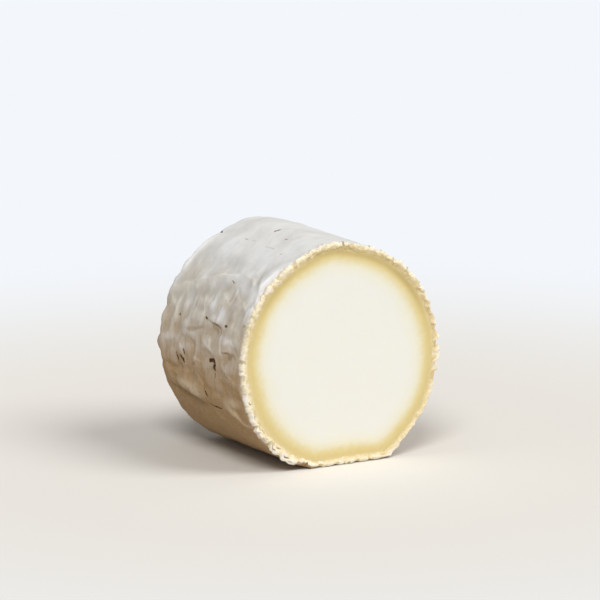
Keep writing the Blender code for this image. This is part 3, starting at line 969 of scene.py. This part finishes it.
def edge_profile():
    """Offset from the log's outside, and place along the log, of each row of the edge.

    The rows come forward on the side, turn over the lip, go down to its foot under
    the paste and return through the cheese.
    """
    halfway = 0.5 * (EDGE_BACK + EDGE_SIDE)
    rows = [(-RIND_DIP, EDGE_BACK), (-0.4 * RIND_DIP, halfway)]
    turn_start = LIP_ROUNDING - LIP_HEIGHT
    rows += [(0.0, along)
             for along in np.linspace(EDGE_SIDE, turn_start, EDGE_SIDE_ROWS)[:-1]]
    rows += [(-LIP_CREST * (1.0 - math.cos(turn)),
              turn_start - LIP_ROUNDING * math.sin(turn))
             for turn in np.linspace(0.0, 0.5 * math.pi, EDGE_TURN_ROWS)]
    rows += [(-LIP_CREST - (LIP_WIDTH - LIP_CREST) * share,
              -LIP_HEIGHT + (LIP_HEIGHT + LIP_FOOT) * (1.0 - (1.0 - share) ** 2))
             for share in np.linspace(0.0, 1.0, EDGE_LIP_ROWS)[1:]]
    foot = (-LIP_WIDTH - HIDDEN_FOOT[0], LIP_FOOT + HIDDEN_FOOT[1])
    back = (-0.8 * LIP_WIDTH, EDGE_BACK)
    rows += np.linspace(foot, back, EDGE_HIDDEN_ROWS).tolist()
    return np.array(rows)[:, :1], np.array(rows)[:, 1:]


def creamline_width(angle):
    """How far the ripened paste reaches in from the rind, as a share of the usual."""
    wander = CREAMLINE_WANDER * noise_at(angle * 3.0, 0.0, 1.7)
    return 1.0 + wander + bells(angle, CREAMLINE_BULGES)


def ripeness(angle, inward):
    """Depth under the outside of the log, in millimetres of a usual creamline."""
    return (inward - bells(angle, LIP_BULGES)) / creamline_width(angle) / MM


def golden_share(angle, inward):
    """How golden the creamline is at a depth under the outside of the log."""
    return sum(added * bell(angle, centre, spread)
               * np.exp(-((inward - depth) / GOLDEN_SPREAD) ** 2)
               for centre, added, spread, depth in GOLDEN)


def keep_ripeness(mesh, angle, inward, ripe, golden):
    """Store on the mesh what its ripened colour depends on.

    The ring holds places in millimetres that run round the log, with the depth under
    its outside as the third axis.
    """
    angle, inward = np.broadcast_arrays(angle, inward)
    ring = np.stack([LOG_RADIUS * np.cos(angle), LOG_RADIUS * np.sin(angle), inward],
                    axis=-1) / MM
    keep_field(mesh, "ring", ring, 'FLOAT_VECTOR', "vector", 3)
    keep_field(mesh, "depth", ripe)
    keep_field(mesh, "golden", golden)


def ripened_colour_group():
    """Colour of lip, creamline and core by depth, with faint streaks toward the core."""
    tree, given, made = new_group(
        "ripened_colour", {"Ring": "Vector", "Depth": "Float", "Golden": "Float"},
        {"Colour": "Color"})
    ring, depth = given["Ring"], given["Depth"]
    streaks = spread_noise(tree, ring, (1.3, 1.3, 5.0))
    mottle = spread_noise(tree, ring, (2.6, 2.6, 2.2), shift=5.0)
    shifted = total(tree, depth, between(tree, streaks, 0.25, 0.75, -0.08, 0.08),
                    between(tree, mottle, 0.25, 0.75, -0.35, 0.35))
    ripening = add_node(tree, "ValToRGB", {
        "Fac": worked_out(tree, 'DIVIDE', shifted, DEEPEST)})
    stops = ripening.color_ramp.elements
    for index, (at_depth, *colour) in enumerate(RIPENING):
        stop = stops[index] if index < 2 else stops.new(at_depth / DEEPEST)
        stop.position = at_depth / DEEPEST
        stop.color = (*colour, 1.0)
    colour = blended(tree, given["Golden"], ripening.outputs["Color"], GOLD)
    faint = product(tree, between(tree, streaks, 0.50, 0.75, 0.0, 0.12),
                    between(tree, depth, 5.5, 3.0))
    feed(tree, made["Colour"], blended(tree, faint, colour, STREAK_CREAM))
    return tree


ripened_colour = ripened_colour_group()


def ripened_nodes(tree):
    """The ripened colour at the places and depths stored on the mesh."""
    return add_node(tree, "Group", {
        "Ring": stored(tree, "ring", "Vector"), "Depth": stored(tree, "depth"),
        "Golden": stored(tree, "golden")}, node_tree=ripened_colour).outputs["Colour"]


def edge_strength(angle):
    """How strongly the edge is crimped in a direction, from 0 to 1."""
    strength = 1.0
    for centre, lost, spread in SMOOTH_EDGES:
        strength = strength * (1.0 - lost * bell(angle, centre, spread, 4))
    return strength


def crimp(angle):
    """Crimps of the cut edge, about -1 in a notch and 1 on a crest."""
    return edge_strength(angle) * sum(
        share * np.sin(count * angle + start) for count, share, start in CRIMPS)


def ring_noise(angle, size, third):
    """Smooth noise of a size that runs on round the log without a seam."""
    turns = LOG_RADIUS / size
    return noise_at(turns * np.cos(angle), turns * np.sin(angle), third)


def within(angle, first, last, start, end):
    """1 from first to last direction, easing in over start and out over end degrees."""
    turn = turn_from(angle, first)
    return smooth_share(turn, *start) * smooth_share(last - first - turn, *end)


def resting_radius(angle, along):
    """Radius of the outline, with its underside cut off flat by the settled sole."""
    downward = np.maximum(-np.sin(angle), 0.5)      # the sole spans less than this
    lift = SOLE_LIFT * np.maximum(SOLE_ALONG[0] - along, 0.0)
    return np.minimum(outline_radius(angle, along), (AXIS_HEIGHT - lift) / downward)


edge_angle = ring_angles(EDGE_COLUMNS)
edge_inward, edge_along = edge_profile()
across_lip = edge_along - edge_inward
on_cut = smooth_share(edge_along, LIP_START, 0.0)
lip_share = np.where(edge_inward > -LIP_WIDTH - 0.5 * HIDDEN_FOOT[0], on_cut, 0.0)
depth_share = np.clip(-edge_inward / LIP_WIDTH, 0.0, 1.0)
outward = np.cos(np.pi * depth_share) * 0.5 + 0.5
calm = edge_strength(edge_angle)

# Frills, pleats and crumbs, which slant across the lip.
slant = (PLEAT_SLANT[0] * noise_at(edge_angle * 6.0, 0.0, 5.5)
         + PLEAT_SLANT[1] * noise_at(edge_angle * 17.0, 0.0, 2.5))
slant_angle = edge_angle + slant * (across_lip - 0.5 * LIP_WIDTH) / LOG_RADIUS
frill = ring_noise(slant_angle, FRILL_SIZE, across_lip / FRILL_SIZE)
pleat = ring_noise(slant_angle, PLEAT_SIZE, across_lip / PLEAT_LENGTH)
fullness = ring_noise(edge_angle, FULL_SIZE[0], across_lip / FULL_SIZE[1] + 3.0)
crumb = ring_noise(edge_angle, CRUMB_SIZE, across_lip / CRUMB_SIZE)
frilled = calm * (FRILL_DEPTH * frill + PLEAT_DEPTH * pleat)

# Lumps of the hem and the specks on them. The hem itself lies further out where its
# lumps stand apart.
hem = (ring_noise(edge_angle, HEM_SIZE, 0.7)
       + HEM_FINE[1] * ring_noise(edge_angle, HEM_SIZE / HEM_FINE[0], 4.9))
knobbly = bell(edge_angle, *KNOBBLY[:2], 4)
lump = smooth_share(hem, *HEM_SPAN) * (1.0 - KNOBBLY[2] * knobbly)
speck = 0.0
for centre, darkness, height in SPECKS:
    speck = speck + darkness * bell(edge_angle, centre, SPECK_SIZE)
    own = bell(edge_angle, centre, LUMP_WIDTH)
    lump = lump * np.maximum(LUMP_SPARED, 1.0 - own) + LUMP_SHARE * height * own
speck = speck * np.exp(-((edge_inward + SPECK_INWARD) / SPECK_REACH) ** 2)
contour = calm * (HEM_LUMP * np.minimum(lump, LUMP_MOST)
                  - HEM_INSET * (1.0 - 0.5 * knobbly))

# Flaps and slits.
flap_angle = edge_angle + np.radians(FLAP_WANDER * noise_at(edge_angle * 24.0, 0.0, 3.3))
flap = drag = 0.0
for first, last, reach in FLAPS:
    part = within(flap_angle, first, last, FLAP_START, FLAP_END)
    flap = flap + part
    drag = drag + part * reach
loose = smooth_share(edge_along, *FLAP_BACK)
flap, drag = flap * loose * smooth_share(edge_inward, *FLAP_WIDTH), drag * loose
slit = 0.0
slit_place = SLIT_WANDER * noise_at(edge_angle * 17.0, 0.0, 8.8)
for first, last, inward, darkness in SLITS:
    half = (0.0, 0.5 * (last - first))
    away = (edge_inward + inward * MM + slit_place) / SLIT_SIZE
    slit = slit + (
        darkness * within(edge_angle, first, last, half, half) * np.exp(-away ** 2))

# The whole edge, outward and forward.
wander = (FOOT_FINE[1] * ring_noise(edge_angle, FOOT_FINE[0], 6.1)
          + FOOT_BROAD[1] * ring_noise(edge_angle, FOOT_BROAD[0], 2.7))
curl = bells(edge_angle, HEM_CURLS)
swell = lip_share * (
    contour - curl + CRIMP_DEPTH * crimp(edge_angle) + FRILLED_OUT * frilled)
edge_rise = skin_rise(edge_angle, LOG_RADIUS, np.maximum(edge_along, 0.0))
side_rise = edge_rise * (1.0 - SIDE_CALM * lip_share)
edge_out = (resting_radius(edge_angle, edge_along) + edge_inward
            + (side_rise + drag) * outward + swell * outward ** 1.5
            - (wander + bells(edge_angle, LIP_BULGES)) * depth_share)
facing = np.where(edge_along < 0.0, smooth_share(depth_share, 0.0, FORWARD_RISE), 0.0)
falling = smooth_share(depth_share, FORWARD_FALL[0], 1.0)
facing = facing * (1.0 - FORWARD_FALL[1] * falling)
forward = lip_share * facing * (
    CRIMPED_FORWARD * CRIMP_DEPTH * crimp(edge_angle + CRIMP_TWIST)
    + FRILLED_FORWARD * frilled + CRUMB_DEPTH * crumb) - SLIT_DEPTH * slit
edge_points = in_frame(edge_angle, edge_out, edge_along - forward)

# Where the cream of the cut shows, and how pale it is on the lumps and frills.
cream = smooth_share(CREAM_REACH * np.minimum(lump, 1.0) - edge_along, *CREAM_BORDER)
cream = on_cut + knobbly * (cream - on_cut)
kept_skin = np.minimum(curl / CURL_BROWN, 1.0) * smooth_share(edge_inward, *CURLED_SKIN)
golden_gap_shade = bells(edge_angle, GOLDEN_GAP_SHADE, 4) * smooth_share(depth_share, 0.10, 0.50)
# The crest is painted onto the lip: paler on lumps, frills and fuller parts and tan in
# the gaps between them, partly the lip's cream and gold, partly painted highlight on the
# crests and painted shade in the gaps.
crest = (1.1 * frilled / FRILL_DEPTH + 1.3 * calm * (lump - 0.5) * outward
         + 0.4 * pleat + 0.5 * fullness + 0.1 - golden_gap_shade)

edge_mesh = wrapped_mesh("rind_edge", edge_points)
lay_out(edge_mesh, EDGE_COLUMNS, edge_along[:, 0])
keep_skin(edge_mesh, edge_angle, LOG_RADIUS, edge_along,
          np.zeros_like(edge_points[..., 0]))
keep_field(edge_mesh, "cut", cream * (1.0 - kept_skin))
keep_field(edge_mesh, "crest", crest * (1.0 - smooth_share(depth_share, 0.40, 1.0)))
keep_field(edge_mesh, "speck", speck * lip_share)
keep_field(edge_mesh, "slit", slit)
keep_field(edge_mesh, "flap", flap)
keep_ripeness(edge_mesh, edge_angle, -edge_inward,
              ripeness(edge_angle, -edge_inward - contour * outward),
              golden_share(edge_angle, -edge_inward))
edge = placed(edge_mesh)

EDGE_CREAM_HIGHLIGHT = (0.838, 0.762, 0.648, 1.0)
EDGE_TAN_GAP_SHADE = (0.530, 0.385, 0.175, 1.0)
SPECK_BROWN_AND_SHADE = (0.271, 0.177, 0.074, 1.0)
SLIT_SHADE_BROWN = (0.173, 0.107, 0.053, 1.0)
FLAP_WHITE = (0.850, 0.790, 0.700, 1.0)

edge_tree, edge_place = new_look(edge_mesh, "crimped_rind_edge", {
    "Roughness": 0.7, "Specular IOR Level": 0.35, "Subsurface Weight": 0.50,
    "Subsurface Radius": (1.0, 0.75, 0.45), "Subsurface Scale": 0.0012})
edge_look = skin_nodes(edge_tree, edge_place, EDGE_BACK)
edge_grain = clouds(edge_tree, edge_place, 0.0009, 0.0009, shift=4.0)
crest_highlight_and_shade = total(edge_tree, stored(edge_tree, "crest"),
                    between(edge_tree, edge_grain, 0.2, 0.8, -0.35, 0.35))
cut_share = total(edge_tree, stored(edge_tree, "cut"), (edge_grain, 0.5))
speck_value = product(edge_tree, stored(edge_tree, "speck"),
                      between(edge_tree, edge_grain, 0.3, 0.6, 0.4, 1.3))
# Painted highlight on the crests and painted shade in the gaps, over the ripened colour
# of the cut.
cut_colour = layered(edge_tree, ripened_nodes(edge_tree),
                     (EDGE_CREAM_HIGHLIGHT, crest_highlight_and_shade, -0.05, 0.75, 0.75),
                     (EDGE_TAN_GAP_SHADE, crest_highlight_and_shade, -0.05, -0.75, 0.60),
                     (FLAP_WHITE, stored(edge_tree, "flap"), 0.2, 0.9))
edge_colour = layered(edge_tree, edge_look["Colour"],
                      (cut_colour, cut_share, 0.25, 0.85),
                      (SPECK_BROWN_AND_SHADE, speck_value, 0.15, 0.9, 0.8),
                      (SLIT_SHADE_BROWN, stored(edge_tree, "slit"), 0.15, 0.8, 0.9))
show(edge_tree, edge_colour, total(edge_tree, edge_grain, edge_look["Height"]),
     0.7, 0.00012)


# Paste
# The cheese itself, cut smooth by a wire: a chalky ivory core, and under the rind the
# yellower, half translucent creamline where it has ripened and gone soft. It fills
# the rind, and the core shades into the creamline without a border.

PASTE_INSET = 0.0016       # the body of the paste lies this far inside the log
FACE_INSET = 0.0023        # and its front border this far, hidden under the lip
FACE_TAPER = 0.0040        # over this much of its length
PASTE_COLUMNS = 360
FACE_STEP = 0.0006
CREAMLINE_SAG = 0.00008    # the creamline is soft and has sunk a little
SAG_REACH = (0.0028, 0.0090)
RIPPLE_DEPTH = 0.00005     # the wire has left low ripples across the face
RIPPLE_SIZE = (0.011, 0.0045)
PASTE_BACK_ROWS = 6

paste_angle = ring_angles(PASTE_COLUMNS)
face_rim = resting_radius(paste_angle, 0.0)
face_rows = round(LOG_RADIUS / FACE_STEP)
face_out = (face_rim - FACE_INSET) * np.linspace(1.0, 0.0, face_rows)[:-1, None]
from_rim = face_rim - face_out
sag = CREAMLINE_SAG * (1.0 - smooth_share(from_rim, *SAG_REACH))
ripple = RIPPLE_DEPTH * noise_at(face_out * np.cos(paste_angle) / RIPPLE_SIZE[0],
                                 face_out * np.sin(paste_angle) / RIPPLE_SIZE[1], 0.5)
back_along = np.linspace(SIDE_END, FACE_TAPER, PASTE_BACK_ROWS)[:, None]
paste_points = np.concatenate([
    in_frame(paste_angle, face_rim - PASTE_INSET, back_along),
    in_frame(paste_angle, face_out, sag + ripple)])
paste_mesh = wrapped_mesh("paste", paste_points,
                          (AXIS_X, CUT_Y + SIDE_END, AXIS_HEIGHT),
                          (AXIS_X, CUT_Y, AXIS_HEIGHT))
paste_ripeness = ripeness(paste_angle, from_rim)
hidden = np.zeros((PASTE_BACK_ROWS, PASTE_COLUMNS))
keep_ripeness(paste_mesh, paste_angle, np.concatenate([hidden, from_rim]),
              np.concatenate([hidden, paste_ripeness]),
              np.concatenate([hidden, golden_share(paste_angle, from_rim)]))
paste_mesh.attributes["depth"].data[-1].value = float(paste_ripeness.max())
paste = placed(paste_mesh)

paste_tree, paste_place = new_look(paste_mesh, "ripened_goat_paste", {
    "Specular IOR Level": 0.4, "Subsurface Weight": 0.35,
    "Subsurface Radius": (1.0, 0.8, 0.45), "Subsurface Scale": 0.0025})
feed(paste_tree, paste_tree.nodes["Principled BSDF"].inputs["Roughness"],
     between(paste_tree, stored(paste_tree, "depth"), 4.0, 9.0, 0.45, 0.62))
curd = clouds(paste_tree, paste_place, 0.0008, 0.0008, roughness=0.6, shift=9.0)
wire = clouds(paste_tree, paste_place, 0.0300, 0.0012, detail=2.0, shift=2.0)
show(paste_tree, ripened_nodes(paste_tree), total(paste_tree, curd, wire), 0.35, 0.00008)


# Floor, light and camera
# A plain pale floor that carries the log, two soft suns from the upper right and the
# upper left, and a pale even sky. The camera stands where the photograph was taken from.

FLOOR_RADIUS = 6.0
FLOOR_NEAR = (0.75, 0.72, 0.67, 1.0)     # warm pale round the log
FLOOR_FAR = (0.83, 0.858, 0.898, 1.0)    # cooler and brighter behind it
FLOOR_FADE = (0.10, 0.42)                # distances between which it changes
SKY_COLOUR = (1.0, 1.0, 1.0, 1.0)
SKY_STRENGTH = 0.29
BACKDROP_COLOUR = (0.879, 0.904, 0.947, 1.0)
# Suns: name, direction toward it, strength, and size in degrees for soft shadows.
LIGHTS = (
    ("soft_sun", (0.44, -0.52, 0.73), 1.70, 30.0),
    ("window", (-0.40, -0.55, 0.73), 1.70, 24.0),
)
VIEW_AZIMUTH = -30.83      # degrees round the log from its cut face
VIEW_ELEVATION = 12.27
VIEW_DISTANCE = 1.30
LENS = 209.8               # millimetres, on Blender's 36 mm sensor
AIM_LEFT = 0.01512         # how far left of the cut's middle the camera looks
AIM_UP = 0.02145           # and how far above it

bpy.ops.mesh.primitive_circle_add(vertices=96, radius=FLOOR_RADIUS, fill_type='NGON')
floor = bpy.context.object
floor.name = "floor"
floor_tree, floor_place = new_look(floor.data, "pale_floor", {
    "Roughness": 1.0, "Specular IOR Level": 0.0})
floor_distance = vector_maths(floor_tree, 'LENGTH', floor_place)
show(floor_tree, covered(floor_tree, FLOOR_NEAR, FLOOR_FAR, floor_distance, *FLOOR_FADE))

sky = bpy.data.worlds.new("pale_sky")
bpy.context.scene.world = sky
sky.use_nodes = True
sky_tree = sky.node_tree
sky_light = sky_tree.nodes["Background"]
sky_light.inputs["Color"].default_value = SKY_COLOUR
sky_light.inputs["Strength"].default_value = SKY_STRENGTH
backdrop = add_node(sky_tree, "Background", {"Color": BACKDROP_COLOUR})
seen = add_node(sky_tree, "LightPath")
choice = add_node(sky_tree, "MixShader", {
    0: seen.outputs["Is Camera Ray"], 1: sky_light.outputs["Background"],
    2: backdrop.outputs["Background"]})
sky_surface = sky_tree.nodes["World Output"].inputs["Surface"]
feed(sky_tree, sky_surface, choice.outputs["Shader"])

for name, toward, strength, size in LIGHTS:
    light_data = bpy.data.lights.new(name, 'SUN')
    light_data.energy = strength
    light_data.angle = math.radians(size)
    light = bpy.data.objects.new(name, light_data)
    light.rotation_mode = 'QUATERNION'
    light.rotation_quaternion = Vector(toward).to_track_quat('Z', 'Y')
    bpy.context.scene.collection.objects.link(light)

azimuth = math.radians(VIEW_AZIMUTH)
elevation = math.radians(VIEW_ELEVATION)
cut_middle = Vector((AXIS_X, CUT_Y, AXIS_HEIGHT))
toward_camera = Vector((math.sin(azimuth) * math.cos(elevation),
                        -math.cos(azimuth) * math.cos(elevation), math.sin(elevation)))
right = Vector((math.cos(azimuth), math.sin(azimuth), 0.0))
up = toward_camera.cross(right)
camera_place = cut_middle + VIEW_DISTANCE * toward_camera
aim = cut_middle - AIM_LEFT * right + AIM_UP * up
camera_data = bpy.data.cameras.new("camera")
camera_data.lens = LENS
camera = bpy.data.objects.new("camera", camera_data)
camera.location = camera_place
camera.rotation_mode = 'QUATERNION'
camera.rotation_quaternion = (camera_place - aim).to_track_quat('Z', 'Y')
bpy.context.scene.collection.objects.link(camera)
bpy.context.scene.camera = camera
bpy.context.scene.view_settings.view_transform = 'Standard'
